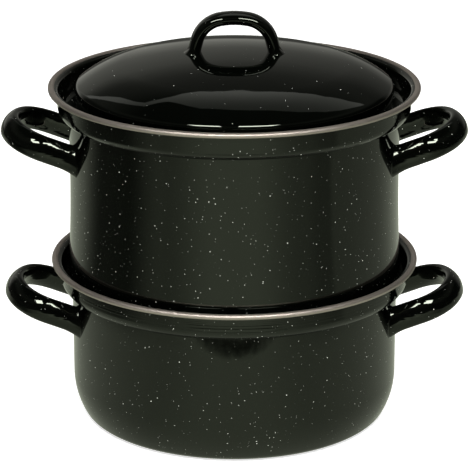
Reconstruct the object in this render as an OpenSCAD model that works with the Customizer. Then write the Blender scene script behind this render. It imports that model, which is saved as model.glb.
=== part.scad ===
// Two-tier potato steamer in speckled enamelled steel: a water pot, a steamer pot with a
// perforated bottom that stands in the collar of the first, and a domed lid. Steel bands close
// both rims, and every piece of sheet has its true wall. Millimetres, +Z up, the origin at the
// middle of the flat base.

/* [Pots] */
// Outside diameter of both pot bodies
body_d = 236; // [210:1:240]
// How far the collar stands out from the body
collar_step = 8; // [7.5:0.5:10]
// Wall of the enamelled sheet
sheet_t = 1.2; // [0.9:0.1:1.5]
// Base to the middle of the rim band, water pot
lower_h = 115.2; // [100:0.2:160]
// Underside to the middle of the rim band, steamer pot
upper_h = 146.6; // [125:0.2:190]
// Middle of the rim band down to the crease under the collar
collar_h = 20; // [17:0.5:24]
// Fillet in the crease between body and collar
crease_r = 0.6; // [0.3:0.1:1.2]
// Bend that turns the collar out into the rim
lip_r = 1.8; // [1:0.1:2.2]

/* [Water pot base] */
// Large radius where the wall starts to turn in
base_big_r = 54; // [30:1:70]
// Part of the turn, in degrees, that the large radius takes
base_turn = 28; // [20:1:45]
// Small radius that runs into the flat base
base_small_r = 8; // [4:0.5:12]

/* [Steamer pot base] */
// How far the flared base stands out from the body
foot_step = 3; // [2:0.5:4]
// Angle of the flare where it reaches the base
foot_flare = 4; // [3.5:0.5:10]
// Radius of the bottom edge
foot_r = 2.5; // [2:0.1:3.5]
// Diameter of each steam hole
hole_d = 5; // [3:0.5:7]
// Distance between the rings of holes
hole_pitch = 19; // [12:0.5:20]
// Number of rings round the middle hole
hole_rings = 5; // [1:1:5]

/* [Rim bands] */
// How far the steel band stands out from the collar
rim_step = 6.5; // [6:0.5:8]
// Radial width of a band
band_w = 4.5; // [4:0.1:5]
// Height of a band
band_h = 3.6; // [3.4:0.1:4]
// Thickness of the band steel
band_t = 0.6; // [0.4:0.05:0.8]
// Gap between the ends of the band at its butt joint
band_joint = 0.5; // [0.2:0.1:1]
// Direction of the butt joint
band_joint_angle = 26.5; // [20:0.5:40]

/* [Lid] */
// How far the brim reaches past the outline of the pot's body
brim_step = 3; // [2.5:0.5:4]
// How far the shoulder of the dome stays inside that outline
dome_inset = 4.1; // [3:0.1:7]
// Middle of the brim up to the shoulder of the dome
dome_step = 17.6; // [12:0.2:24]
// Radius of the shoulder
shoulder_r = 2.8; // [2:0.1:4]
// Slope of the dome just inside the shoulder
dome_slope = 35; // [25:2.5:45]
// Radius of the dome between shoulder and crown
dome_mid_r = 90; // [75:1:100]
// Slope of the dome where the crown starts
crown_slope = 12.5; // [10:2.5:17.5]
// Inward lean of the wall under the shoulder
wall_lean = 10; // [0:2.5:15]
// Fillet between wall and brim
brim_fillet = 3; // [2:0.1:4]

/* [Side handles] */
// Short width of the bar
grip_w = 10; // [8:0.5:12]
// Long width of the bar
grip_h = 18.4; // [14:0.2:22]
// Lean of the bar's long side towards the pot
grip_lean = 15; // [0:2.5:25]
// Distance between the middles of the two legs
leg_gap = 69; // [60:1:78]
// Straight part of each leg, from the pot's outline
leg_l = 16.4; // [12:0.2:26]
// Radius of the corner bends, middle of the bar
corner_r = 26.5; // [20:0.5:30]
// Turn of each corner bend
corner_turn = 60; // [45:5:75]
// Upward tilt of the loop
loop_tilt = 20; // [10:1:25]
// Rim band down to the loop where it meets the water pot
lower_drop = 36.3; // [34:0.1:42]
// Rim band down to the loop where it meets the steamer pot
upper_drop = 43.4; // [36:0.1:50]
// Growth of the bar on each side at its root
root_grow = 3; // [1:0.5:4]
// Length over which the root grows
root_l = 15; // [10:0.5:20]

/* [Lid handle] */
// Thickness of the arch
arch_t = 9.4; // [8:0.2:11]
// Width of the arch across the lid
arch_w = 18; // [14:0.5:22]
// Distance between the middles of its feet
arch_span = 56.8; // [50:0.2:64]
// Inward lean of its legs
arch_lean = 15; // [5:1:20]
// Straight part of each leg
arch_leg = 7.7; // [4:0.1:12]
// Radius of the corner bends, middle of the bar
arch_corner_r = 21; // [16:0.5:22]
// Angle at which the corner bend runs into the top
arch_turn = 80; // [70:1:85]
// Growth of the leg on each side at its foot
arch_grow = 2.4; // [1:0.2:3]
// Length over which the foot grows
arch_grow_l = 7; // [5:0.5:9]

/* [Fit] */
// Clearance between a rounded edge and the collar it rests in
seat_gap = 0.2; // [0.1:0.05:0.5]
// Clearance between the rolled rim and the band round it
band_fit = 0.05; // [0.02:0.01:0.1]

/* [Hidden] */

enamel = [0.13, 0.14, 0.13];
steel = [0.72, 0.69, 0.65];

round_fn = 180;   // steps of a full turn
arc_fn = 144;     // steps of a small circle
wide_fn = 1440;   // steps of a wide circle
hole_fn = 32;     // steps of a steam hole
arc_step = 3;     // turn of a profile bend per step, in degrees
wide_step = 0.5;  // the same for bends of a very wide radius
seam = 0.02;      // each part of a bar stands this much proud of the next one
lap = 0.4;        // length by which the parts of a bar reach into each other
leg_in = 14;      // how far the raw legs reach inside the pot's outline before they are cut
root_share = 0.6; // part of a root's length that stands outside the pot
lip_share = 0.9;  // largest part of the flat under the rim that the lip bend takes
arch_sink = 4;    // how far the growth of a foot reaches into the crown before it is cut
cut = 1;          // how far a hole's cylinder runs past the sheet

body_r = body_d / 2;
collar_r = body_r + collar_step;
rim_r = collar_r + rim_step;
foot_max_r = body_r + foot_step;
brim_r = body_r + brim_step;
dome_r = body_r - dome_inset;

// The collar's shoulder bend fills what is left between crease and collar wall.
bend_r = collar_r - body_r - crease_r;
bend_x = body_r + crease_r;
seat_r = bend_r - sheet_t - seat_gap;

// Height of a rounded edge's centre above the crease when it rests in the shoulder bend.
function seat_z(x, r) = bend_r - sqrt(pow(seat_r - r, 2) - pow(x - bend_x, 2));

// Rim: the rolled edge of the sheet, and the band round it, share these two centres.
roll_r = band_h / 2 - band_t;
roll_x1 = rim_r - band_h / 2;
roll_x0 = roll_x1 - (band_w - band_h);
bead_r = roll_r - band_fit;
lip = min(lip_r, (roll_x0 - bead_r - collar_r) * lip_share);

// Water pot
big_x = body_r - base_big_r;
small_x = big_x + (base_big_r - base_small_r) * cos(base_turn);
big_z = base_small_r + (base_big_r - base_small_r) * sin(base_turn);
lower_rim_z = lower_h;
lower_crease_z = lower_rim_z - collar_h;

// Steamer pot: its bottom edge rests in the water pot's collar.
foot_x = foot_max_r - foot_r;
foot_z = lower_crease_z + seat_z(foot_x, foot_r);
upper_z = foot_z - foot_r;
flare_x = foot_x + foot_r * cos(foot_flare);
flare_z = foot_z + foot_r * sin(foot_flare);
flare_r = (flare_x - body_r) / (1 - cos(foot_flare));
flare_top = flare_z + flare_r * sin(foot_flare);
upper_rim_z = upper_z + upper_h;
upper_crease_z = upper_rim_z - collar_h;

// Lid: its brim rests in the steamer pot's collar.
brim_x = brim_r - sheet_t / 2;
brim_z = upper_crease_z + seat_z(brim_x, sheet_t / 2);
dome_z = brim_z + dome_step;
shoulder_x = dome_r - shoulder_r;
mid_x = shoulder_x - (dome_mid_r - shoulder_r) * sin(dome_slope);
mid_z = dome_z - (dome_mid_r - shoulder_r) * cos(dome_slope);
crown_r = (mid_x + dome_mid_r * sin(crown_slope)) / sin(crown_slope);
crown_z = mid_z + (dome_mid_r - crown_r) * cos(crown_slope);
lid_top = crown_z + crown_r;
wall_x0 = shoulder_x + shoulder_r * cos(wall_lean);
wall_z0 = dome_z - shoulder_r * sin(wall_lean);
wall_z1 = brim_z + sheet_t / 2 + brim_fillet * (1 + sin(wall_lean));
wall_x1 = wall_x0 - (wall_z0 - wall_z1) * tan(wall_lean);
fillet_x = wall_x1 + brim_fillet * cos(wall_lean);

// Profiles, all drawn in the plane of radius and height

// A bend is [x, z, radius of the outer face, side, from, to, step]. Side is 1 where the centre
// lies under the outer face, and -1 where it lies outside.
function arc(x, z, r, a0, a1, step = arc_step) =
    let (n = ceil(abs(a1 - a0) / step))
    [for (i = [0:n]) let (a = a0 + (a1 - a0) * i / n) [x + r * cos(a), z + r * sin(a)]];

function face(bends, depth) =
    [for (b = bends) each arc(b[0], b[1], b[2] - b[3] * depth, b[4], b[5], b[6])];

function reversed(list) = [for (i = [len(list) - 1:-1:0]) list[i]];

// Sheet that runs from the axis through its bends to an edge
module sheet_profile(z_out, z_in, bends, edge) {
    polygon(concat([[0, z_out]], face(bends, 0), edge,
                   reversed(face(bends, sheet_t)), [[0, z_in]]));
}

// Crease, shoulder and lip of the collar
function collar_bends(crease_z, rim_z) = [
    [bend_x, crease_z - crease_r, crease_r, -1, 180, 90, 5 * arc_step],
    [bend_x, crease_z + bend_r, bend_r, 1, -90, 0, arc_step],
    [collar_r + lip, rim_z - sheet_t / 2 - lip, lip, -1, 180, 90, 2 * arc_step]];

// Edge of the sheet rolled to two half circles with a flat between them
function rolled_edge(rim_z) =
    let (a = asin(sheet_t / 2 / bead_r), step = 5 * arc_step)
    concat(arc(roll_x0, rim_z, bead_r, 180 + a, 270, step),
           arc(roll_x1, rim_z, bead_r, -90, 90, step),
           arc(roll_x0, rim_z, bead_r, 90, 180 - a, step));

// Two circles and the square between them
module stadium(x0, x1, z, r) {
    for (x = [x0, x1]) translate([x, z]) circle(r = r, $fn = arc_fn);
    translate([x0, z - r]) square([x1 - x0, 2 * r]);
}

module revolve() {
    rotate_extrude($fn = round_fn) children();
}

// Pots

module lower_pot() {
    color(enamel) revolve() sheet_profile(0, sheet_t, concat([
        [small_x, base_small_r, base_small_r, 1, -90, -base_turn, arc_step],
        [big_x, big_z, base_big_r, 1, -base_turn, 0, arc_step / 2]],
        collar_bends(lower_crease_z, lower_rim_z)), rolled_edge(lower_rim_z));
}

module steam_holes() {
    for (ring = [0:hole_rings])
        for (i = [0:max(1, 6 * ring) - 1])
            rotate(i * 60 / max(1, ring)) translate([ring * hole_pitch, 0, upper_z - cut])
                cylinder(d = hole_d, h = sheet_t + 2 * cut, $fn = hole_fn);
}

module upper_pot() {
    color(enamel) difference() {
        revolve() sheet_profile(upper_z, upper_z + sheet_t, concat([
            [foot_x, foot_z, foot_r, 1, -90, foot_flare, 2 * arc_step],
            [body_r + flare_r, flare_top, flare_r, -1, 180 + foot_flare, 180, wide_step]],
            collar_bends(upper_crease_z, upper_rim_z)), rolled_edge(upper_rim_z));
        steam_holes();
    }
}

// Steel strip folded over the rolled rim, open below and inside where the sheet comes out
module rim_band(rim_z) {
    gap_z = rim_z - band_h;
    color(steel) difference() {
        revolve() difference() {
            stadium(roll_x0, roll_x1, rim_z, band_h / 2);
            stadium(roll_x0, roll_x1, rim_z, roll_r);
            translate([roll_x0 - band_h, gap_z])
                square([band_h, rim_z + sheet_t / 2 + band_fit - gap_z]);
        }
        rotate(band_joint_angle) translate([collar_r, -band_joint / 2, gap_z])
            cube([2 * band_w + band_h, band_joint, 2 * band_h]);
    }
}

module lower_rim_band() rim_band(lower_rim_z);
module upper_rim_band() rim_band(upper_rim_z);

// Bars of the handles

// Section of a bar, its long side across the bend; proud is the seam it stands out by
module bar_section(w, h, lean, proud) {
    rotate(lean) {
        for (s = [-1, 1]) translate([0, s * (h - w) / 2]) circle(r = w / 2 + proud, $fn = arc_fn);
        square([w + 2 * proud, h - w], center = true);
    }
}

// Bar bent round the Z axis, between two directions
module bar_bend(r, a0, a1, w, h, lean, proud) {
    more = lap / r * 180 / PI;
    rotate(a0 - more) rotate_extrude(angle = a1 - a0 + 2 * more, $fn = round_fn)
        translate([r, 0]) bar_section(w, h, lean, proud);
}

// Root of a bar: its section grows along -X in a hollow curve, from x = 0
module bar_root(w, h, lean, grow, length) {
    curve = (length * length + grow * grow) / (2 * grow);
    rotate([lean, 0, 0]) {
        for (s = [0, 1]) mirror([0, 0, s]) translate([0, 0, (h - w) / 2]) rotate([0, -90, 0])
            rotate([0, 0, -90]) rotate_extrude(angle = 180, $fn = arc_fn) intersection() {
                root_profile(w, grow, length, curve);
                square([w + grow, length]);
            }
        translate([0, 0, -(h - w) / 2]) linear_extrude(h - w) rotate(90)
            root_profile(w, grow, length, curve);
    }
}

module root_profile(w, grow, length, curve) {
    difference() {
        translate([-w / 2 - grow, 0]) square([w + 2 * grow, length]);
        for (s = [-1, 1]) translate([s * (w / 2 + curve), 0]) circle(r = curve, $fn = wide_fn);
    }
}

// Side handles

leg_v = leg_gap / 2;
top_r = corner_r + (leg_v - corner_r) / cos(corner_turn);
top_x = leg_l + (corner_r - top_r) * sin(corner_turn);
root_x = (sqrt(body_r * body_r - leg_v * leg_v) - body_r) / cos(loop_tilt) + root_l * root_share;

module handle_loop() {
    for (side = [0, 1]) mirror([0, side, 0]) {
        translate([-leg_in, leg_v, 0]) rotate([90, 0, 90])
            linear_extrude(leg_l + leg_in + lap) bar_section(grip_w, grip_h, grip_lean, 2 * seam);
        translate([leg_l, leg_v - corner_r, 0])
            bar_bend(corner_r, 90 - corner_turn, 90, grip_w, grip_h, grip_lean, seam);
        translate([root_x, leg_v, 0])
            bar_root(grip_w, grip_h, grip_lean, root_grow, root_l);
    }
    translate([top_x, 0, 0])
        bar_bend(top_r, corner_turn - 90, 90 - corner_turn, grip_w, grip_h, grip_lean, 0);
}

// Loop on the +X side, cut to the pot's outline
module side_handle(z) {
    difference() {
        translate([body_r, 0, z]) rotate([0, -loop_tilt, 0]) handle_loop();
        translate([0, 0, z - 2 * grip_h]) cylinder(r = body_r, h = 4 * grip_h, $fn = round_fn);
    }
}

module lower_handle_right() color(enamel) side_handle(lower_rim_z - lower_drop);
module upper_handle_right() color(enamel) side_handle(upper_rim_z - upper_drop);
module lower_handle_left() mirror([1, 0, 0]) lower_handle_right();
module upper_handle_left() mirror([1, 0, 0]) upper_handle_right();

// Lid

module lid() {
    color(enamel) revolve() sheet_profile(lid_top, lid_top - sheet_t, [
        [0, crown_z, crown_r, 1, 90 - wide_step, 90 - crown_slope, wide_step],
        [mid_x, mid_z, dome_mid_r, 1, 90 - crown_slope, 90 - dome_slope, 2 * wide_step],
        [shoulder_x, dome_z, shoulder_r, 1, 90 - dome_slope, -wall_lean, arc_step],
        [fillet_x, brim_z + sheet_t / 2 + brim_fillet, brim_fillet, -1, 180 - wall_lean, 270,
         arc_step]],
        arc(brim_x, brim_z, sheet_t / 2, 90, -90, 5 * arc_step));
}

// Lid handle

arch_v = arch_span / 2;
arch_cx = arch_v - arch_leg * sin(arch_lean) - arch_corner_r * cos(arch_lean);
arch_cy = arch_leg * cos(arch_lean) - arch_corner_r * sin(arch_lean);
arch_top_r = arch_corner_r + arch_cx / cos(arch_turn);
arch_top_y = arch_cy + (arch_corner_r - arch_top_r) * sin(arch_turn);

module arch() {
    for (side = [0, 1]) mirror([side, 0, 0]) {
        translate([arch_v, 0, 0]) rotate(arch_lean) {
            translate([0, -arch_leg, 0]) rotate([-90, 0, 0])
                linear_extrude(2 * arch_leg + lap) bar_section(arch_t, arch_w, 0, 2 * seam);
            translate([0, arch_grow_l - arch_sink, 0]) rotate(90)
                bar_root(arch_t, arch_w, 0, arch_grow, arch_grow_l);
        }
        translate([arch_cx, arch_cy, 0])
            bar_bend(arch_corner_r, arch_lean, arch_turn, arch_t, arch_w, 0, seam);
    }
    translate([0, arch_top_y, 0])
        bar_bend(arch_top_r, arch_turn, 180 - arch_turn, arch_t, arch_w, 0, 0);
}

// Arch cut to the crown of the lid
module lid_handle() {
    color(enamel) difference() {
        translate([0, 0, lid_top]) rotate([90, 0, 0]) arch();
        translate([0, 0, crown_z]) sphere(r = crown_r, $fn = 2 * round_fn);
    }
}

lower_pot();
lower_rim_band();
lower_handle_left();
lower_handle_right();
upper_pot();
upper_rim_band();
upper_handle_left();
upper_handle_right();
lid();
lid_handle();
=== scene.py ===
# Speckled enamel potato steamer: water pot, steamer pot and lid.
# Each node of model.glb is drawn again with smooth surfaces on the same sizes.
import math
import bpy
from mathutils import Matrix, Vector
from mathutils.geometry import delaunay_2d_cdt


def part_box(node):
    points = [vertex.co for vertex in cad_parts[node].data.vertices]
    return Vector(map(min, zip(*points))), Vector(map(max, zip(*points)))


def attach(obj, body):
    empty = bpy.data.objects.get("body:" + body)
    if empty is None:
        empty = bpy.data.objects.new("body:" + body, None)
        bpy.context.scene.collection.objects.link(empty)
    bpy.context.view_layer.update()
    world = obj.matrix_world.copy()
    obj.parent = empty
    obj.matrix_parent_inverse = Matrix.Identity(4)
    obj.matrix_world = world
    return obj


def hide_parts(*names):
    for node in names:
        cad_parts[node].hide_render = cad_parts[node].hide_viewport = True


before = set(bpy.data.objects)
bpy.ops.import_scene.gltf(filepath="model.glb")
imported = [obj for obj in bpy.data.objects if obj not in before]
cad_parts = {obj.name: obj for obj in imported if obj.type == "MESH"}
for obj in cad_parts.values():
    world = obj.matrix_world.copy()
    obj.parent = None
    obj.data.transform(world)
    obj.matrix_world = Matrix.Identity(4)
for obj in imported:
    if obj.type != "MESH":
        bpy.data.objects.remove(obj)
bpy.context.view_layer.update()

MM = 0.001

# Sizes of the object, in millimetres and degrees
SHEET = 1.2
BODY_R = 118.0

# Collar of both pots, and the steel band on its rim
COLLAR_STEP = 8.0     # how far the collar stands out from the body
COLLAR_H = 20.0
CREASE_R = 0.6        # inner bend where the neck turns out to the collar
LIP_R = 1.8           # inner bend where the collar turns out to the rim
RIM_STEP = 6.5        # how far the band stands out from the collar
BAND_W = 4.5
BAND_H = 3.6
BAND_T = 0.6
BAND_FIT = 0.05       # gap between the band and the rolled edge inside it
BAND_JOINT = 0.5      # gap between the two ends of the band
BAND_JOINT_ANGLE = 26.5
SEAT_GAP = 0.2        # gap between a collar and what rests in it

# Rounded base of the water pot
BASE_BIG_R = 54.0
BASE_TURN = 28.0
BASE_SMALL_R = 8.0

# Flared foot and perforated bottom of the steamer pot
FOOT_STEP = 3.0       # how far the foot stands out from the body
FOOT_FLARE = 4.0
FOOT_R = 2.5
HOLE_R = 2.5
HOLE_PITCH = 19.0
HOLE_RINGS = 5
RING_HOLES = 6        # how many more holes each ring has than the one inside it
PLATE_EDGE = 8.0      # from the outer holes' middles to the edge of the perforated plate

# Lid: brim, wall, shoulder, dome and crown
BRIM_STEP = 3.0       # how far the brim reaches past the outline of the body
DOME_INSET = 4.1      # how far the shoulder stays inside that outline
DOME_STEP = 17.6      # height of the shoulder's centre above the brim
SHOULDER_R = 2.8
SHOULDER_SOFT_R = 5.5  # the glaze rounds the shoulder more than the steel under it
DOME_SLOPE = 35.0
DOME_MID_R = 90.0
CROWN_SLOPE = 12.5
WALL_LEAN = 10.0
BRIM_FILLET = 3.0

# Loop handles: a bar with two legs, two corners and a gentle bend between them
GRIP_W = 10.0
GRIP_H = 18.4
GRIP_SIDE = 28.0      # turn on each half of a bar's flatter sides
GRIP_LEAN = 15.0
LEG_V = 34.5          # from the middle of the loop to the middle of a leg
LEG_L = 16.4
CORNER_R = 26.5
CORNER_TURN = 60.0
LOOP_TILT = 20.0
LOWER_DROP = 36.3     # how far under its pot's rim a loop leaves the wall
UPPER_DROP = 43.4
ROOT_GROW = 3.0       # how much thicker each side of a leg grows towards the wall
ROOT_L = 15.0
ROOT_SHARE = 0.6      # part of a root's length that stands outside the pot

# Arch handle of the lid
ARCH_T = 9.4
ARCH_W = 18.0
ARCH_SIDE = 20.0      # turn on each half of the arch's flatter sides
ARCH_V = 28.4
ARCH_LEAN = 15.0
ARCH_LEG = 7.7
ARCH_CORNER_R = 21.0
ARCH_TURN = 80.0
ARCH_GROW = 2.4
ARCH_GROW_L = 7.0
ARCH_SINK = 4.0       # how deep the growth of a foot reaches under the top of the crown

# Joins and steps of the meshes
WELD = 0.3            # how deep the end of a bar reaches into the sheet
TURN_STEPS = 288      # steps of a full turn round the object's axis
HOLE_STEPS = 24       # steps of a steam hole
LEG_STEPS = 10        # rings along the root of a handle's leg
TRIM_ROUNDS = 12      # rounds that find where a leg's side meets the wall
SMALL = 12.0          # degrees per step of a tight bend
FINE = 4.0            # the same for a wider one
BAR_STEP = 3.0        # the same for the bends of a bar
BROAD = 1.0           # the same for the dome
WIDE = 0.5            # the same for the crown and the flare
TINY = 1e-6           # shorter than any edge, in millimetres
CLOSE = 1e-3          # as good as touching, in millimetres
PLACE_DIGITS = 4      # corners whose places agree to these decimals are one


def sin(a):
    return math.sin(math.radians(a))


def cos(a):
    return math.cos(math.radians(a))


def middle_z(node):
    low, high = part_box(node)
    return (low.z + high.z) / 2 / MM


COLLAR_R = BODY_R + COLLAR_STEP
RIM_R = COLLAR_R + RIM_STEP
BEND_R = COLLAR_STEP - CREASE_R
BEND_X = BODY_R + CREASE_R
SEAT_R = BEND_R - SHEET - SEAT_GAP
ROLL_R = BAND_H / 2 - BAND_T
ROLL_X1 = RIM_R - BAND_H / 2
ROLL_X0 = ROLL_X1 - (BAND_W - BAND_H)
BEAD_R = ROLL_R - BAND_FIT
LOWER_RIM = middle_z("lower_rim_band")
UPPER_RIM = middle_z("upper_rim_band")


def seat_z(x, r):
    """Height above the crease of a rounded edge's centre that rests in the collar."""
    return BEND_R - math.sqrt((SEAT_R - r) ** 2 - (x - BEND_X) ** 2)


FOOT_X = BODY_R + FOOT_STEP - FOOT_R
FOOT_Z = LOWER_RIM - COLLAR_H + seat_z(FOOT_X, FOOT_R)
BRIM_X = BODY_R + BRIM_STEP - SHEET / 2
BRIM_Z = UPPER_RIM - COLLAR_H + seat_z(BRIM_X, SHEET / 2)
DOME_Z = BRIM_Z + DOME_STEP
SHOULDER_X = BODY_R - DOME_INSET - SHOULDER_R
MID_X = SHOULDER_X - (DOME_MID_R - SHOULDER_R) * sin(DOME_SLOPE)
MID_Z = DOME_Z - (DOME_MID_R - SHOULDER_R) * cos(DOME_SLOPE)
CROWN_R = (MID_X + DOME_MID_R * sin(CROWN_SLOPE)) / sin(CROWN_SLOPE)
CROWN_Z = MID_Z + (DOME_MID_R - CROWN_R) * cos(CROWN_SLOPE)
LID_TOP = CROWN_Z + CROWN_R


# Meshes: a face is a list of (place, normal) corners, in millimetres

def ring_point(point, turn):
    """A profile point and its normal, turned round the object's axis."""
    x, z, nx, nz = point
    c, s = math.cos(turn), math.sin(turn)
    return Vector((x * c, x * s, z)), Vector((nx * c, nx * s, nz))


def revolved(profile, start=0.0, stop=360.0):
    """Faces of a closed profile, drawn anticlockwise, turned round the axis."""
    steps = math.ceil(TURN_STEPS * (stop - start) / 360)
    turns = [math.radians(start + (stop - start) * i / steps) for i in range(steps + 1)]
    faces = []
    for a, b in zip(profile, profile[1:] + profile[:1]):
        if math.dist(a[:2], b[:2]) < TINY or max(a[0], b[0]) < TINY:
            continue
        for t, u in zip(turns, turns[1:]):
            faces.append([ring_point(a, t), ring_point(a, u), ring_point(b, u), ring_point(b, t)])
    return faces


def build(name, faces, material, slot, *nodes):
    """One piece from its faces. Corners at one place are welded, and keep their own normals."""
    index, places, polygons, normals = {}, [], [], []
    for corners in faces:
        polygon = []
        kept = []
        for place, normal in corners:
            key = tuple(round(c, PLACE_DIGITS) + 0.0 for c in place)
            if key not in index:
                index[key] = len(places)
                places.append(place * MM)
            if index[key] not in polygon:
                polygon.append(index[key])
                kept.append(normal.normalized())
        if len(polygon) > 2:
            polygons.append(polygon)
            normals.extend(kept)
    mesh = bpy.data.meshes.new(name)
    mesh.from_pydata(places, [], polygons)
    mesh.polygons.foreach_set("use_smooth", [True] * len(polygons))
    mesh.normals_split_custom_set(normals)
    mesh.update()
    mesh.materials.append(material)
    piece = bpy.data.objects.new(name, mesh)
    bpy.context.scene.collection.objects.link(piece)
    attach(piece, "root")
    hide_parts(*nodes)
    return piece


# Profiles: points (radius, height, normal) of the sheet's two faces

def arc(x, z, r, side, a0, a1, step):
    n = max(1, math.ceil(abs(a1 - a0) / step))
    turns = [a0 + (a1 - a0) * i / n for i in range(n + 1)]
    return [(x + r * cos(a), z + r * sin(a), side * cos(a), side * sin(a)) for a in turns]


def face(bends, depth, way):
    """The face at a depth under the outer one. Way is 1 outside and -1 inside."""
    return [p for x, z, r, side, a0, a1, step in bends
            for p in arc(x, z, r - side * depth, side * way, a0, a1, step)]


def collar_bends(rim_z):
    crease_z = rim_z - COLLAR_H
    return [(BEND_X, crease_z - CREASE_R, CREASE_R, -1, 180, 90, SMALL),
            (BEND_X, crease_z + BEND_R, BEND_R, 1, -90, 0, FINE),
            (COLLAR_R + LIP_R, rim_z - SHEET / 2 - LIP_R, LIP_R, -1, 180, 90, SMALL)]


def rolled_edge(rim_z):
    """The edge rolled to a bead, with the flat of the rim running into it."""
    a = math.degrees(math.asin(SHEET / 2 / BEAD_R))
    x = ROLL_X0 - BEAD_R * cos(a)
    return ([(x, rim_z - SHEET / 2, 0, -1)] +
            arc(ROLL_X0, rim_z, BEAD_R, 1, 180 + a, 270, SMALL) +
            arc(ROLL_X1, rim_z, BEAD_R, 1, -90, 90, SMALL) +
            arc(ROLL_X0, rim_z, BEAD_R, 1, 90, 180 - a, SMALL) +
            [(x, rim_z + SHEET / 2, 0, 1)])


def pot_profile(base_bends, rim_z, low, start_r):
    """A pot from its base, which starts at start_r from the axis, to its rolled edge."""
    bends = base_bends + collar_bends(rim_z)
    return ([(start_r, low, 0, -1)] + face(bends, 0, 1) + rolled_edge(rim_z) +
            face(bends, SHEET, -1)[::-1] + [(start_r, low + SHEET, 0, 1)])


def lower_pot_faces():
    big_x = BODY_R - BASE_BIG_R
    small_x = big_x + (BASE_BIG_R - BASE_SMALL_R) * cos(BASE_TURN)
    big_z = BASE_SMALL_R + (BASE_BIG_R - BASE_SMALL_R) * sin(BASE_TURN)
    base = [(small_x, BASE_SMALL_R, BASE_SMALL_R, 1, -90, -BASE_TURN, FINE),
            (big_x, big_z, BASE_BIG_R, 1, -BASE_TURN, 0, FINE / 2)]
    return revolved(pot_profile(base, LOWER_RIM, 0, 0))


def hole_places():
    places = []
    for ring in range(HOLE_RINGS + 1):
        count = max(1, RING_HOLES * ring)
        for i in range(count):
            turn = 2 * math.pi * i / count
            places.append(Vector((math.cos(turn), math.sin(turn))) * ring * HOLE_PITCH)
    return places


def circle_2d(middle, r, steps):
    return [middle + Vector((math.cos(a), math.sin(a))) * r
            for a in (2 * math.pi * i / steps for i in range(steps))]


def plate_faces(edge_r, low):
    """The perforated bottom: two flat faces and the walls of the steam holes."""
    middles = hole_places()
    holes = [circle_2d(middle, HOLE_R, HOLE_STEPS) for middle in middles]
    points, edges = [], []
    for loop in [circle_2d(Vector((0, 0)), edge_r, TURN_STEPS)] + holes:
        first = len(points)
        points += loop
        edges += [(first + i, first + (i + 1) % len(loop)) for i in range(len(loop))]
    points, _, triangles, _, _, _ = delaunay_2d_cdt(points, edges, [], 1, TINY)
    down, up = Vector((0, 0, -1)), Vector((0, 0, 1))
    faces = []
    for triangle in triangles:
        corners = [points[i] for i in triangle]
        centre = sum(corners, Vector((0, 0))) / 3
        if any((centre - middle).length < HOLE_R * cos(180 / HOLE_STEPS) for middle in middles):
            continue
        faces.append([(c.to_3d() + up * low, down) for c in reversed(corners)])
        faces.append([(c.to_3d() + up * (low + SHEET), up) for c in corners])
    for middle, loop in zip(middles, holes):
        for a, b in zip(loop, loop[1:] + loop[:1]):
            na, nb = (middle - a).to_3d(), (middle - b).to_3d()
            faces.append([(b.to_3d() + up * low, nb), (a.to_3d() + up * low, na),
                          (a.to_3d() + up * (low + SHEET), na),
                          (b.to_3d() + up * (low + SHEET), nb)])
    return faces


def upper_pot_faces():
    low = FOOT_Z - FOOT_R
    flare_x = FOOT_X + FOOT_R * cos(FOOT_FLARE)
    flare_r = (flare_x - BODY_R) / (1 - cos(FOOT_FLARE))
    flare_top = FOOT_Z + (FOOT_R + flare_r) * sin(FOOT_FLARE)
    base = [(FOOT_X, FOOT_Z, FOOT_R, 1, -90, FOOT_FLARE, SMALL),
            (BODY_R + flare_r, flare_top, flare_r, -1, 180 + FOOT_FLARE, 180, WIDE)]
    edge_r = HOLE_RINGS * HOLE_PITCH + PLATE_EDGE
    profile = pot_profile(base, UPPER_RIM, low, edge_r)
    shell = revolved(profile + [profile[-1]])
    return [f for f in shell if not on_edge(f, edge_r)] + plate_faces(edge_r, low)


def on_edge(corners, r):
    """Whether a face stands on the circle of radius r, where the plate joins the shell."""
    return all(abs(place.xy.length - r) < CLOSE for place, _ in corners)


def soft_shoulder():
    """Centre of the softer shoulder, which touches the dome and the wall, and its first angle."""
    out, up = Vector((cos(WALL_LEAN), -sin(WALL_LEAN))), Vector((sin(WALL_LEAN), cos(WALL_LEAN)))
    dome = Vector((MID_X, MID_Z))
    aside = out.dot(Vector((SHOULDER_X, DOME_Z)) - dome) + SHOULDER_R - SHOULDER_SOFT_R
    rise = math.sqrt((DOME_MID_R - SHOULDER_SOFT_R) ** 2 - aside ** 2)
    away = out * aside + up * rise
    return dome + away, math.degrees(math.atan2(away.y, away.x))


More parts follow.
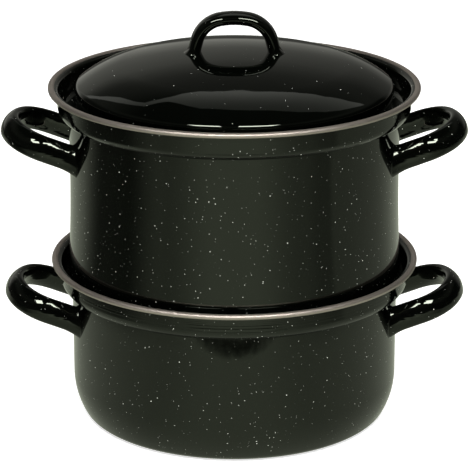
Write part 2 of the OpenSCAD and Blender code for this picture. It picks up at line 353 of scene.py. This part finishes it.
def lid_faces():
    shoulder, start = soft_shoulder()
    bends = [(0, CROWN_Z, CROWN_R, 1, 90 - WIDE, 90 - CROWN_SLOPE, WIDE),
             (MID_X, MID_Z, DOME_MID_R, 1, 90 - CROWN_SLOPE, start, BROAD),
             (shoulder.x, shoulder.y, SHOULDER_SOFT_R, 1, start, -WALL_LEAN, FINE)]
    wall_x = shoulder.x + SHOULDER_SOFT_R * cos(WALL_LEAN)
    wall_z = shoulder.y - SHOULDER_SOFT_R * sin(WALL_LEAN)
    wall_end = BRIM_Z + SHEET / 2 + BRIM_FILLET * (1 + sin(WALL_LEAN))
    fillet_x = wall_x - (wall_z - wall_end) * math.tan(math.radians(WALL_LEAN))
    fillet_x += BRIM_FILLET * cos(WALL_LEAN)
    bends.append((fillet_x, BRIM_Z + SHEET / 2 + BRIM_FILLET, BRIM_FILLET, -1,
                  180 - WALL_LEAN, 270, FINE))
    profile = ([(0, LID_TOP, 0, 1)] + face(bends, 0, 1) +
               arc(BRIM_X, BRIM_Z, SHEET / 2, 1, 90, -90, SMALL) +
               face(bends, SHEET, -1)[::-1] + [(0, LID_TOP - SHEET, 0, -1)])
    return revolved(profile[::-1])


def band_faces(rim_z):
    """Steel strip folded over the bead, open below and inside, with its butt joint."""
    top = SHEET / 2 + BAND_FIT
    outer = 180 - math.degrees(math.asin(top / (BAND_H / 2)))
    inner = 180 - math.degrees(math.asin(top / ROLL_R))
    step = SMALL / 2
    ends = [(ROLL_X0 + BAND_H / 2 * cos(outer), rim_z + top, 0, -1),
            (ROLL_X0 + ROLL_R * cos(inner), rim_z + top, 0, -1)]
    profile = ([(ROLL_X0, rim_z - BAND_H / 2, 0, -1)] +
               arc(ROLL_X1, rim_z, BAND_H / 2, 1, -90, 90, step) +
               arc(ROLL_X0, rim_z, BAND_H / 2, 1, 90, outer, step) + ends +
               arc(ROLL_X0, rim_z, ROLL_R, -1, inner, 90, step) +
               arc(ROLL_X1, rim_z, ROLL_R, -1, 90, -90, step) +
               [(ROLL_X0, rim_z - ROLL_R, 0, 1), (ROLL_X0, rim_z - ROLL_R, -1, 0),
                (ROLL_X0, rim_z - BAND_H / 2, -1, 0)])
    half = math.degrees(BAND_JOINT / 2 / RIM_R)
    start, stop = BAND_JOINT_ANGLE + half, BAND_JOINT_ANGLE + 360 - half
    faces = revolved(profile, start, stop)
    for turn, way in ((math.radians(start), 1), (math.radians(stop), -1)):
        normal = Vector((math.sin(turn), -math.cos(turn), 0)) * way
        corners = [(ring_point(p, turn)[0], normal) for p in profile]
        faces.append(corners[::way])
    return faces


# Bars: an oval section carried along a bent line in the plane of its handle

def bar_section(w, h, turn):
    """Corners (out, up, normal out, normal up) of an oval of four arcs, as wide as w and as
    high as h. Turn is half the angle of the two flatter arcs."""
    ratio = (1 - sin(turn)) / cos(turn)
    side_r = (h / 2 - w / 2 * ratio) / (sin(turn) - ratio * (1 - cos(turn)))
    side_x = w / 2 - side_r
    end_r = (w / 2 - side_r * (1 - cos(turn))) / cos(turn)
    end_z = h / 2 - end_r
    arcs = (arc(side_x, 0, side_r, 1, -turn, turn, FINE),
            arc(0, end_z, end_r, 1, turn, 180 - turn, SMALL),
            arc(-side_x, 0, side_r, 1, 180 - turn, 180 + turn, FINE),
            arc(0, -end_z, end_r, 1, 180 + turn, 360 - turn, SMALL))
    return [point for part in arcs for point in part[:-1]]


def growth(s, root, grow, length):
    """How much the bar is thicker at s, and how fast that changes."""
    curve = (length ** 2 + grow ** 2) / (2 * grow)
    d = min(max(0.0, root - s), length)
    return curve - math.sqrt(curve ** 2 - d ** 2), d / math.sqrt(curve ** 2 - d ** 2)


class Bar:
    """A bar in a plane: out and across span the plane, and up is square to it."""

    def __init__(self, origin, out, across, section, lean):
        self.origin, self.out, self.across = origin, out, across
        self.up = out.cross(across)
        self.section = section
        self.lean = lean

    def corner(self, at, turn, point, grown=(0.0, 0.0)):
        """Place and normal of a section corner at a plane point where the bar faces turn."""
        s_out, s_up, n_out, n_up = point
        s_out += grown[0] * n_out
        s_up += grown[0] * n_up
        c, s = cos(self.lean), sin(self.lean)
        side = self.out * cos(turn) + self.across * sin(turn)
        along = self.out * -sin(turn) + self.across * cos(turn)
        place = (self.origin + self.out * at[0] + self.across * at[1] +
                 side * (s_out * c - s_up * s) + self.up * (s_out * s + s_up * c))
        normal = side * (n_out * c - n_up * s) + self.up * (n_out * s + n_up * c)
        return place, normal, along

    def ring(self, at, turn):
        return [self.corner(at, turn, p)[:2] for p in self.section]

    def leg(self, foot, turn, way, straight, root, trim):
        """Rings from the trimmed end of a leg up to the start of its bend. Way is 1 where the
        leg leaves the body along the turn and -1 where it comes back."""
        along = Vector((-sin(turn), cos(turn))) * way
        rings = [[] for _ in range(LEG_STEPS + 1)]
        for point in self.section:
            s = root[0]
            for _ in range(TRIM_ROUNDS):
                grown = growth(s, *root)
                place = self.corner(foot + along * s, turn, point, grown)[0]
                s += trim(place, self.out * along.x + self.across * along.y)
            for k in range(LEG_STEPS + 1):
                at_s = s + (root[0] - s) * k / LEG_STEPS
                size, slope = growth(at_s, *root)
                place, normal, line = self.corner(foot + along * at_s, turn, point, (size, 0))
                rings[k].append((place, normal + line * way * slope))
        rings.append(self.ring(foot + along * straight, turn))
        return rings[::way]


def joined(rings):
    """Faces between rings of corners, with a cap at both ends."""
    faces = []
    n = len(rings[0])
    for a, b in zip(rings, rings[1:]):
        for i in range(n):
            j = (i + 1) % n
            faces.append([a[i], a[j], b[j], b[i]])
    for ring, order in ((rings[0], -1), (rings[-1], 1)):
        middle = sum((p for p, _ in ring), Vector()) / n
        normal = Vector()
        for i in range(n):
            a, b = ring[i][0] - middle, ring[(i + 1) % n][0] - middle
            normal += a.cross(b) * order
        for i in range(n):
            corners = [(ring[i][0], normal), (ring[(i + 1) % n][0], normal), (middle, normal)]
            faces.append(corners[::order])
    return faces


def outward(faces):
    """The faces with corners in the order that suits their normals."""
    turned = []
    for f in faces:
        a, b, c = f[0][0], f[1][0], f[2][0]
        square = (b - a).cross(c - b)
        turned.append(f if square.dot(f[0][1]) >= 0 else f[::-1])
    return turned


def side_handle_faces(z, side):
    """Loop handle whose legs end on the body. Side is 1 at +X and -1 at -X."""
    out = Vector((cos(LOOP_TILT) * side, 0, sin(LOOP_TILT)))
    across = Vector((0, side, 0))
    section = bar_section(GRIP_W, GRIP_H, GRIP_SIDE)
    bar = Bar(Vector((BODY_R * side, 0, z)), out, across, section, GRIP_LEAN)
    root_x = (math.sqrt(BODY_R ** 2 - LEG_V ** 2) - BODY_R) / cos(LOOP_TILT)
    root_x += ROOT_L * ROOT_SHARE
    top_r = CORNER_R + (LEG_V - CORNER_R) / cos(CORNER_TURN)
    top_x = LEG_L + (CORNER_R - top_r) * sin(CORNER_TURN)

    def trim(place, along):
        reach = math.sqrt((BODY_R - WELD) ** 2 - place.y ** 2)
        return (reach * side - place.x) / along.x

    root = (root_x, ROOT_GROW, ROOT_L)
    corner = Vector((LEG_L, LEG_V - CORNER_R))
    rings = []
    rings += bar.leg(Vector((0, -LEG_V)), -90, 1, LEG_L, root, trim)
    rings += bend_rings(bar, Vector((corner.x, -corner.y)), CORNER_R, -90, CORNER_TURN - 90)
    rings += bend_rings(bar, Vector((top_x, 0)), top_r, CORNER_TURN - 90, 90 - CORNER_TURN)
    rings += bend_rings(bar, corner, CORNER_R, 90 - CORNER_TURN, 90)
    rings += bar.leg(Vector((0, LEG_V)), 90, -1, LEG_L, root, trim)
    return outward(joined(rings))


def bend_rings(bar, centre, r, a0, a1):
    n = math.ceil(abs(a1 - a0) / BAR_STEP)
    turns = [a0 + (a1 - a0) * i / n for i in range(1, n + 1)]
    return [bar.ring(centre + Vector((cos(a), sin(a))) * r, a) for a in turns]


def lid_handle_faces():
    section = bar_section(ARCH_T, ARCH_W, ARCH_SIDE)
    bar = Bar(Vector((0, 0, LID_TOP)), Vector((1, 0, 0)), Vector((0, 0, 1)), section, 0)
    centre = Vector((ARCH_V - ARCH_LEG * sin(ARCH_LEAN) - ARCH_CORNER_R * cos(ARCH_LEAN),
                     ARCH_LEG * cos(ARCH_LEAN) - ARCH_CORNER_R * sin(ARCH_LEAN)))
    top_r = ARCH_CORNER_R + centre.x / cos(ARCH_TURN)
    top = Vector((0, centre.y + (ARCH_CORNER_R - top_r) * sin(ARCH_TURN)))
    crown = Vector((0, 0, CROWN_Z))

    def trim(place, along):
        rel = place - crown
        b, c = rel.dot(along), rel.length_squared - (CROWN_R - WELD) ** 2
        return -b + math.sqrt(max(0.0, b * b - c))

    root = (ARCH_GROW_L - ARCH_SINK, ARCH_GROW, ARCH_GROW_L)
    rings = []
    rings += bar.leg(Vector((ARCH_V, 0)), ARCH_LEAN, 1, ARCH_LEG, root, trim)
    rings += bend_rings(bar, centre, ARCH_CORNER_R, ARCH_LEAN, ARCH_TURN)
    rings += bend_rings(bar, top, top_r, ARCH_TURN, 180 - ARCH_TURN)
    rings += bend_rings(bar, Vector((-centre.x, centre.y)), ARCH_CORNER_R,
                        180 - ARCH_TURN, 180 - ARCH_LEAN)
    rings += bar.leg(Vector((-ARCH_V, 0)), 180 - ARCH_LEAN, -1, ARCH_LEG, root, trim)
    return outward(joined(rings))


# Materials: sizes in metres

GRAIN_COLOUR = (0.86, 0.88, 0.80, 1)
GRAIN_ROUGH = 0.15       # how much rougher a grain is than the glaze
GRAIN_EDGE = 0.3         # soft edge of a grain, as a part of the largest radius
GRAIN_WOBBLE = 0.00015   # how far a grain's outline strays from a circle
WOBBLE_SCALE = 900.0
BIG_GRAINS = {"cell": 0.0041, "low_r": 0.0002, "high_r": 0.00044, "faint": 0.6}
SMALL_GRAINS = {"cell": 0.0029, "low_r": 0.00013, "high_r": 0.0003, "faint": 0.3}
SMALL_GRAIN_LEVEL = 0.8

GLAZE_DARK = (0.0003, 0.0005, 0.0003, 1)
GLAZE_PALE = (0.0009, 0.0012, 0.0008, 1)
GLAZE_TINT = (0.93, 1.0, 0.87, 1)
GLAZE_ROUGH = (0.02, 0.04)
GLAZE_IOR = 1.5
CLOUD_SCALE = 14.0       # slow changes of the glaze's colour and gloss
PEEL_SCALE = 85.0        # its slight unevenness
PEEL_HEIGHT = 0.00012
PEEL_STRENGTH = 0.25
RING_SCALE = 420.0
RING_HEIGHT = 5.0        # height of the spun rings beside that of the unevenness
RING_START = (BODY_R + 3) * MM     # radii between which the rings come in
RING_FULL = (COLLAR_R - 1) * MM

STEEL_DARK = (0.55, 0.49, 0.45, 1)
STEEL_PALE = (0.65, 0.58, 0.535, 1)
STEEL_ROUGH = (0.46, 0.6)
STAIN_SCALE = 45.0
LINE_SCALE = 2600.0
LINE_HEIGHT = 0.00002
LINE_STRENGTH = 0.3

NOISE_LOW, NOISE_HIGH = 0.3, 0.7   # where most of a noise's values lie


class Nodes:
    """Small helper to wire a material's nodes."""

    def __init__(self, owner):
        owner.use_nodes = True
        self.tree = owner.node_tree
        self.tree.nodes.clear()

    def add(self, kind, inputs=None, **settings):
        node = self.tree.nodes.new(kind)
        for key, value in settings.items():
            setattr(node, key, value)
        for key, value in (inputs or {}).items():
            self.put(node.inputs[key], value)
        return node

    def put(self, socket, value):
        """Link a socket to another one, or set its value."""
        if isinstance(value, bpy.types.NodeSocket):
            self.tree.links.new(value, socket)
        else:
            socket.default_value = value

    def math(self, operation, *values, clamp=False):
        inputs = dict(enumerate(values))
        return self.add("ShaderNodeMath", inputs, operation=operation,
                        use_clamp=clamp).outputs[0]

    def smooth(self, value, low, high, to_low=0.0, to_high=1.0):
        inputs = {"Value": value, "From Min": low, "From Max": high,
                  "To Min": to_low, "To Max": to_high}
        return self.add("ShaderNodeMapRange", inputs,
                        interpolation_type="SMOOTHSTEP").outputs[0]

    def summed(self, base, *parts):
        """The base, with each part's mask added by the part's own amount."""
        for mask, amount in parts:
            base = self.math("MULTIPLY_ADD", mask, amount, base)
        return base

    def between(self, value, start, full, fade, end):
        """1 between full and fade, and 0 before start and past end."""
        rise = self.smooth(value, start, full)
        return self.math("MULTIPLY", rise, self.smooth(value, fade, end, 1.0, 0.0))

    def mix(self, factor, a, b):
        """A mix of two colours. The node keeps them in sockets 6 and 7, and gives one in 2."""
        node = self.add("ShaderNodeMix", data_type="RGBA")
        for index, value in ((0, factor), (6, a), (7, b)):
            self.put(node.inputs[index], value)
        return node.outputs[2]

    def noise(self, place, scale, detail):
        inputs = {"Vector": place, "Scale": scale, "Detail": detail}
        return self.add("ShaderNodeTexNoise", inputs)

    def object_place(self):
        return self.add("ShaderNodeTexCoord").outputs["Object"]

    def split(self, place):
        return self.add("ShaderNodeSeparateXYZ", {"Vector": place}).outputs

    def radius(self, place):
        """Distance of a place from the object's axis."""
        flat = self.add("ShaderNodeVectorMath", {0: place, 1: (1, 1, 0)}, operation="MULTIPLY")
        return self.add("ShaderNodeVectorMath", {0: flat.outputs[0]},
                        operation="LENGTH").outputs["Value"]

    def surface(self, shader):
        self.add("ShaderNodeOutputMaterial", {"Surface": shader.outputs[0]})


def speckles(n, place, density, cell, low_r, high_r, faint):
    """Mask of random round grains, one in each cell, between two radii. Faint is the level of
    the faintest."""
    cell /= density
    voronoi = n.add("ShaderNodeTexVoronoi", {"Vector": place, "Scale": 1 / cell},
                    voronoi_dimensions="3D", feature="F1")
    chance = n.add("ShaderNodeSeparateColor", {"Color": voronoi.outputs["Color"]})
    r = n.smooth(chance.outputs[0], 0.0, 1.0, low_r / cell, high_r / cell)
    inside = n.math("SUBTRACT", r, voronoi.outputs["Distance"])
    mask = n.math("DIVIDE", inside, GRAIN_EDGE * high_r / cell, clamp=True)
    bright = n.smooth(chance.outputs[1], 0.0, 1.0, faint, 1.0)
    return n.math("MULTIPLY", mask, bright)


def grain_mask(n, place, density):
    """Large and small grains together, with slightly uneven outlines."""
    wobble = n.noise(place, WOBBLE_SCALE, 1.0)
    bent = n.add("ShaderNodeVectorMath", {0: wobble.outputs["Color"], 1: (GRAIN_WOBBLE,) * 3},
                 operation="MULTIPLY").outputs[0]
    grains_at = n.add("ShaderNodeVectorMath", {0: place, 1: bent}, operation="ADD").outputs[0]
    big = speckles(n, grains_at, density, **BIG_GRAINS)
    small = speckles(n, grains_at, density, **SMALL_GRAINS)
    return n.math("ADD", big, n.math("MULTIPLY", small, SMALL_GRAIN_LEVEL), clamp=True)


def spun_rings(n, place):
    """Height of the faint rings that spinning leaves round the flared collars."""
    level = n.add("ShaderNodeCombineXYZ", {"Z": n.split(place)[2]})
    rings = n.noise(level.outputs[0], RING_SCALE, 1.0)
    collar = n.smooth(n.radius(place), RING_START, RING_FULL)
    return n.math("MULTIPLY", rings.outputs["Fac"], n.math("MULTIPLY", collar, RING_HEIGHT))


def enamel(name, density):
    """Black vitreous enamel with grains of white frit under a glassy surface."""
    material = bpy.data.materials.new(name)
    n = Nodes(material)
    place = n.object_place()
    grains = grain_mask(n, place, density)
    clouds = n.noise(place, CLOUD_SCALE, 3.0)
    ground = n.mix(clouds.outputs["Fac"], GLAZE_DARK, GLAZE_PALE)
    gloss = n.smooth(clouds.outputs["Fac"], NOISE_LOW, NOISE_HIGH, *GLAZE_ROUGH)
    peel = n.noise(place, PEEL_SCALE, 1.0)
    height = n.math("ADD", peel.outputs["Fac"], spun_rings(n, place))
    bump = n.add("ShaderNodeBump", {"Strength": PEEL_STRENGTH, "Distance": PEEL_HEIGHT,
                                    "Height": height})
    n.surface(n.add("ShaderNodeBsdfPrincipled", {
        "Base Color": n.mix(grains, ground, GRAIN_COLOUR),
        "Roughness": n.math("ADD", gloss, n.math("MULTIPLY", grains, GRAIN_ROUGH)),
        "Normal": bump.outputs[0], "IOR": GLAZE_IOR, "Specular Tint": GLAZE_TINT}))
    return material


def rim_steel():
    """Rolled stainless strip with fine lines along its length."""
    material = bpy.data.materials.new("rim_steel")
    n = Nodes(material)
    place = n.object_place()
    section = n.add("ShaderNodeCombineXYZ", {"X": n.radius(place), "Z": n.split(place)[2]})
    lines = n.noise(section.outputs[0], LINE_SCALE, 2.0)
    stain = n.noise(place, STAIN_SCALE, 2.0)
    bump = n.add("ShaderNodeBump", {"Strength": LINE_STRENGTH, "Distance": LINE_HEIGHT,
                                    "Height": lines.outputs["Fac"]})
    n.surface(n.add("ShaderNodeBsdfPrincipled", {
        "Base Color": n.mix(stain.outputs["Fac"], STEEL_DARK, STEEL_PALE), "Metallic": 1.0,
        "Roughness": n.smooth(lines.outputs["Fac"], NOISE_LOW, NOISE_HIGH, *STEEL_ROUGH),
        "Normal": bump.outputs[0]}))
    return material


# Studio: sizes in metres, turns in degrees from the front and positive to the right

FLOOR_EDGES = (-2.2, -2.4, 2.2, 2.0)
FLOOR_Z = -0.0001        # just clear of the base
FLOOR_PAPER = (0.78, 0.78, 0.76, 1)
FLOOR_LIFT = 0.72        # brings the paper up to white for the camera
# tint of the floor's painted light and shade, seen only in reflections
FLOOR_TINT = (0.93, 1.0, 0.80, 1)
WHITE = (1, 1, 1, 1)

# Painted light and shade on the floor, seen only in reflections: level, and what the front and the
# back add to it
NEAR_TONE, NEAR_FRONT, NEAR_BACK = 0.49, 0.15, 0.08
FAR_TONE, FAR_FRONT, FAR_BACK = 0.37, 0.38, 0.14
NEAR_END, FAR_START = 0.30, 0.42
FRONT_FULL, FRONT_END = 10, 44
BACK_START, BACK_FULL = 105, 140

# Shade on each side of the floor: the turns where it starts, is full, fades and ends
LEFT_FLAG = (-46, -72, -96, -122)
RIGHT_FLAG = (42, 58, 62, 67)
LEFT_FLAG_TONE, RIGHT_FLAG_TONE = -0.30, -0.13

# The floor's light falls off between these distances, to this share
FADE_START, FADE_END, FADE_TONE = 1.0, 1.6, 0.35

# Painted dark reflection: a dark ragged patch in the floor's glow in front of the object, seen only
# in reflections
PATCH_Y = -0.35
PATCH_W, PATCH_D = 0.17, 0.026     # half of its width and of its depth
PATCH_TONE = 0.14
PATCH_FULL, PATCH_END = -0.1, 1.7  # squared distances, in those halves, where it is full and gone
PATCH_RAGGED = 1.5
PATCH_SCALE = 48.0

# The dim room in reflections: levels from straight down to straight up
ROOM_STOPS = ((0.0, 0.06), (0.49, 0.06), (0.51, 0.30), (0.60, 0.17), (0.68, 0.15), (0.75, 0.08),
              (0.83, 0.05), (0.9, 0.01), (1.0, 0.01))
ROOM_WARMTH = 0.9
ROOM_LEFT, ROOM_RIGHT = (-0.5, 1.9), (0.4, 0.7)     # direction along X, and its share of light
ROOM_SIDES, ROOM_BACK = (0.66, 0.08), (0.86, 1.0)   # direction along Y, and its share of light
ROOM_HIGH, ROOM_LOW = 0.6, 0.35                     # directions along Z between which they come in

PAPER_TINT = (1.0, 1.0, 0.95, 1)
SOFTBOX_Z = 1.45
SOFTBOX_POWER = 26.0
SOFTBOXES = {"softbox_left": (-0.86, -1.55, -0.25, -1.1),
             "softbox_right": (0.08, -1.55, 0.83, -1.1)}
PANEL_Z = 1.27
PANEL_POWER, PANEL_NEAR_POWER = 0.52, 0.2
PANEL_NEAR_Y, PANEL_FAR_Y = 0.3, 1.1
MIRROR_ROUNDS = 20       # rounds that find where a ray from the camera meets the lid

# The panel's outline: its edges, given as the pixels of the photograph where the lid
# mirrors them, and the corners of its left end in metres
PANEL_FAR_EDGE = ((100, 96.5), (120, 97.5), (135, 101.5), (145, 103), (160, 99), (170, 97),
                  (178, 95), (190, 92.5), (200, 91.5), (235, 90.5), (270, 91.5), (300, 93),
                  (325, 96.5), (340, 99), (350, 101.5), (360, 103.5), (364.5, 105))
PANEL_NEAR_EDGE = ((360, 106), (350, 108.5), (340, 110.5), (325, 112), (300, 112), (270, 110.5),
                   (235, 110), (200, 108.5), (186.5, 105.5), (177, 103), (168, 101.5), (160, 102.5),
                   (145, 106.5), (135, 105.5), (120, 103), (100, 99.5))
PANEL_LEFT_END = ((-2.4, 4.1), (-2.4, 4.3))

# Each lamp's place, size and power in watts
LAMPS = {"key_left": ((-0.5, -0.9, 1.5), 0.6, 22),
         "key_right": ((0.6, -0.9, 1.5), 0.6, 22),
         "fill_back": ((0.1, 0.9, 1.4), 0.8, 12)}
LAMP_TARGET = (0, 0, 0.12)

# The photograph's camera, and the square photograph's side in pixels
CAMERA_DISTANCE = 1.8
CAMERA_PITCH = 18.55
CAMERA_TARGET = (0.00045, 0, 0.1304)
SENSOR_W = 36.0          # millimetres
FOCAL_PIXELS = 2480      # focal length, in pixels of the photograph
IMAGE_SIDE = 470


def rectangle(x0, y0, x1, y1):
    return ((x0, y0), (x1, y0), (x1, y1), (x0, y1))


def sheet(name, outline, z):
    """A flat level sheet of the studio."""
    mesh = bpy.data.meshes.new(name)
    mesh.from_pydata([(x, y, z) for x, y in outline], [], [range(len(outline))])
    obj = bpy.data.objects.new(name, mesh)
    bpy.context.scene.collection.objects.link(obj)
    return obj


def painted_floor_light(n):
    """Painted light and shade on the studio floor: how bright each part of it is to the glossy
    enamel.
    """
    place = n.object_place()
    x, y, _ = n.split(place)
    reach = n.radius(place)
    turn = n.math("ARCTAN2", x, n.math("MULTIPLY", y, -1.0))
    turn = n.math("MULTIPLY", turn, 180 / math.pi)
    aside = n.math("ABSOLUTE", turn)
    front = n.smooth(aside, FRONT_FULL, FRONT_END, 1.0, 0.0)
    behind = n.smooth(aside, BACK_START, BACK_FULL)
    far = n.summed(FAR_TONE, (front, FAR_FRONT), (behind, FAR_BACK),
                   (n.between(turn, *LEFT_FLAG), LEFT_FLAG_TONE),
                   (n.between(turn, *RIGHT_FLAG), RIGHT_FLAG_TONE))
    near = n.summed(NEAR_TONE, (front, NEAR_FRONT), (behind, NEAR_BACK))
    away = n.smooth(reach, NEAR_END, FAR_START)
    tone = n.math("MULTIPLY_ADD", away, n.math("SUBTRACT", far, near), near)
    # painted dark reflection: the ragged dark patch that the pots mirror
    tone = n.math("MULTIPLY", tone, painted_dark_reflection(n, place, x, y))
    return n.math("MULTIPLY", tone, n.smooth(reach, FADE_START, FADE_END, 1.0, FADE_TONE))


def painted_dark_reflection(n, place, x, y):
    """Share of light that the painted dark reflection patch in the floor's glow leaves."""
    along = n.math("POWER", n.math("DIVIDE", x, PATCH_W), 2.0)
    across = n.math("POWER", n.math("DIVIDE", n.math("SUBTRACT", y, PATCH_Y), PATCH_D), 2.0)
    ragged = n.noise(place, PATCH_SCALE, 3.0).outputs["Fac"]
    ragged = n.math("MULTIPLY_ADD", ragged, PATCH_RAGGED, -PATCH_RAGGED / 2)
    at = n.math("ADD", n.math("ADD", along, across), ragged)
    return n.smooth(at, PATCH_FULL, PATCH_END, PATCH_TONE, 1.0)


def floor():
    """Pale floor: white to the camera apart from the object's shadow, and glowing with painted
    light and shade that only reflections show."""
    obj = sheet("floor", rectangle(*FLOOR_EDGES), FLOOR_Z)
    material = bpy.data.materials.new("floor")
    n = Nodes(material)
    rays = n.add("ShaderNodeLightPath")
    paper = n.add("ShaderNodeBsdfDiffuse", {"Color": FLOOR_PAPER})
    white = n.add("ShaderNodeEmission", {"Color": WHITE, "Strength": FLOOR_LIFT})
    # painted light and shade of the floor, which only glossy rays see
    shaded = n.add("ShaderNodeEmission", {"Color": FLOOR_TINT, "Strength": painted_floor_light(n)})
    lifted = n.add("ShaderNodeAddShader", {0: paper.outputs[0], 1: white.outputs[0]})
    glossy = n.add("ShaderNodeMixShader", {0: rays.outputs["Is Glossy Ray"],
                                           1: paper.outputs[0], 2: shaded.outputs[0]})
    n.surface(n.add("ShaderNodeMixShader", {0: rays.outputs["Is Camera Ray"],
                                            1: glossy.outputs[0], 2: lifted.outputs[0]}))
    obj.data.materials.append(material)


def card(name, outline, z, strength, near_strength=None):
    """A softbox or reflector that only shows in reflections. With a near strength it is dimmer
    over the object."""
    obj = sheet(name, outline, z)
    material = bpy.data.materials.new(name)
    n = Nodes(material)
    power = strength
    if near_strength is not None:
        y = n.split(n.object_place())[1]
        power = n.smooth(y, PANEL_NEAR_Y, PANEL_FAR_Y, near_strength, strength)
    n.surface(n.add("ShaderNodeEmission", {"Color": PAPER_TINT, "Strength": power}))
    obj.data.materials.append(material)
    obj.visible_camera = False
    obj.visible_diffuse = False
    obj.visible_shadow = False


def lamp(name, place, size, watts):
    data = bpy.data.lights.new(name, "AREA")
    data.shape = "SQUARE"
    data.size = size
    data.energy = watts
    obj = bpy.data.objects.new(name, data)
    bpy.context.scene.collection.objects.link(obj)
    obj.location = place
    aim = Vector(LAMP_TARGET) - Vector(place)
    obj.rotation_euler = aim.to_track_quat("-Z", "Y").to_euler()
    obj.visible_glossy = False


def room_share(n, x, y, z):
    """Share of the room's light that comes from each direction."""
    across = n.smooth(x, ROOM_LEFT[0], ROOM_RIGHT[0], ROOM_LEFT[1], ROOM_RIGHT[1])
    behind = n.smooth(y, ROOM_SIDES[0], ROOM_BACK[0], ROOM_SIDES[1], ROOM_BACK[1])
    low = n.smooth(z, ROOM_HIGH, ROOM_LOW)
    share = n.math("SUBTRACT", n.math("MULTIPLY", across, behind), 1.0)
    return n.math("MULTIPLY_ADD", share, low, 1.0)


def surround():
    """White behind the object for the camera, a dim room in reflections."""
    world = bpy.data.worlds.new("studio")
    bpy.context.scene.world = world
    n = Nodes(world)
    rays = n.add("ShaderNodeLightPath")
    x, y, z = n.split(n.add("ShaderNodeTexCoord").outputs["Generated"])
    ramp = n.add("ShaderNodeValToRGB", {"Fac": n.math("MULTIPLY_ADD", z, 0.5, 0.5)})
    while len(ramp.color_ramp.elements) < len(ROOM_STOPS):
        ramp.color_ramp.elements.new(0.5)
    for element, (at, level) in zip(ramp.color_ramp.elements, ROOM_STOPS):
        element.position = at
        element.color = (level, level, level * ROOM_WARMTH, 1)
    room = n.add("ShaderNodeBackground", {"Color": ramp.outputs[0],
                                          "Strength": room_share(n, x, y, z)})
    white = n.add("ShaderNodeBackground", {"Color": WHITE, "Strength": 1.0})
    shader = n.add("ShaderNodeMixShader", {0: rays.outputs["Is Camera Ray"],
                                           1: room.outputs[0], 2: white.outputs[0]})
    n.add("ShaderNodeOutputWorld", {"Surface": shader.outputs[0]})


def camera_place():
    back = Vector((0, -cos(CAMERA_PITCH), sin(CAMERA_PITCH)))
    return Vector(CAMERA_TARGET) + back * CAMERA_DISTANCE


def pixel_ray(x, y):
    """Direction from the camera through a pixel of the photograph."""
    ahead = Vector((0, cos(CAMERA_PITCH), -sin(CAMERA_PITCH)))
    up = Vector((0, sin(CAMERA_PITCH), cos(CAMERA_PITCH)))
    aside = Vector((1, 0, 0))
    ray = ahead * FOCAL_PIXELS + aside * (x - IMAGE_SIDE / 2) + up * (IMAGE_SIDE / 2 - y)
    return ray.normalized()


def lid_face(place):
    """Direction out of the lid's crown or dome near a place, and the place's distance from it,
    in millimetres."""
    r = place.xy.length
    centre, radius = Vector((0, 0, CROWN_Z)), CROWN_R
    if math.degrees(math.atan2(r - MID_X, place.z - MID_Z)) > CROWN_SLOPE:
        centre, radius = Vector((place.x / r * MID_X, place.y / r * MID_X, MID_Z)), DOME_MID_R
    away = place - centre
    return away.normalized(), away.length - radius


def mirrored(x, y):
    """The place at the panel's height, in metres, that the lid mirrors to a pixel."""
    place = camera_place() / MM
    ray = pixel_ray(x, y)
    for _ in range(MIRROR_ROUNDS):
        out, distance = lid_face(place)
        place -= ray * (distance / ray.dot(out))
    ray = ray.reflect(lid_face(place)[0])
    place = place * MM
    place += ray * ((PANEL_Z - place.z) / ray.z)
    return place.x, place.y


def panel_outline():
    edges = [mirrored(x, y) for x, y in PANEL_FAR_EDGE + PANEL_NEAR_EDGE]
    return edges + list(PANEL_LEFT_END)


def studio():
    floor()
    surround()
    for name, edges in SOFTBOXES.items():
        card(name, rectangle(*edges), SOFTBOX_Z, SOFTBOX_POWER)
    card("ceiling_panel", panel_outline(), PANEL_Z, PANEL_POWER, PANEL_NEAR_POWER)
    for name, (place, size, watts) in LAMPS.items():
        lamp(name, place, size, watts)


def camera():
    """The photograph's view: its distance, its pitch and its lens."""
    data = bpy.data.cameras.new("camera")
    data.sensor_width = SENSOR_W
    data.lens = SENSOR_W * FOCAL_PIXELS / IMAGE_SIDE
    obj = bpy.data.objects.new("camera", data)
    bpy.context.scene.collection.objects.link(obj)
    obj.location = camera_place()
    obj.rotation_euler = (math.radians(90 - CAMERA_PITCH), 0, 0)
    bpy.context.scene.camera = obj


# The object's pieces, each in place of its node

def dress():
    pot = enamel("pot_enamel", density=1.0)
    lid = enamel("lid_enamel", density=0.5)
    handle = enamel("handle_enamel", density=0.8)
    steel = rim_steel()
    build("water_pot", lower_pot_faces(), pot, "pot_enamel", "lower_pot")
    build("steamer_pot", upper_pot_faces(), pot, "pot_enamel", "upper_pot")
    build("domed_lid", lid_faces(), lid, "lid_enamel", "lid")
    build("arch_handle", lid_handle_faces(), handle, "handle_enamel", "lid_handle")
    for tier, rim_z, drop in (("lower", LOWER_RIM, LOWER_DROP), ("upper", UPPER_RIM, UPPER_DROP)):
        build(f"{tier}_steel_rim", band_faces(rim_z), steel, "rim_steel", f"{tier}_rim_band")
        for side, name in ((-1, "left"), (1, "right")):
            faces = side_handle_faces(rim_z - drop, side)
            build(f"{tier}_loop_{name}", faces, handle, "handle_enamel", f"{tier}_handle_{name}")


def main():
    dress()
    studio()
    camera()
    bpy.context.scene.view_settings.view_transform = "Standard"


main()
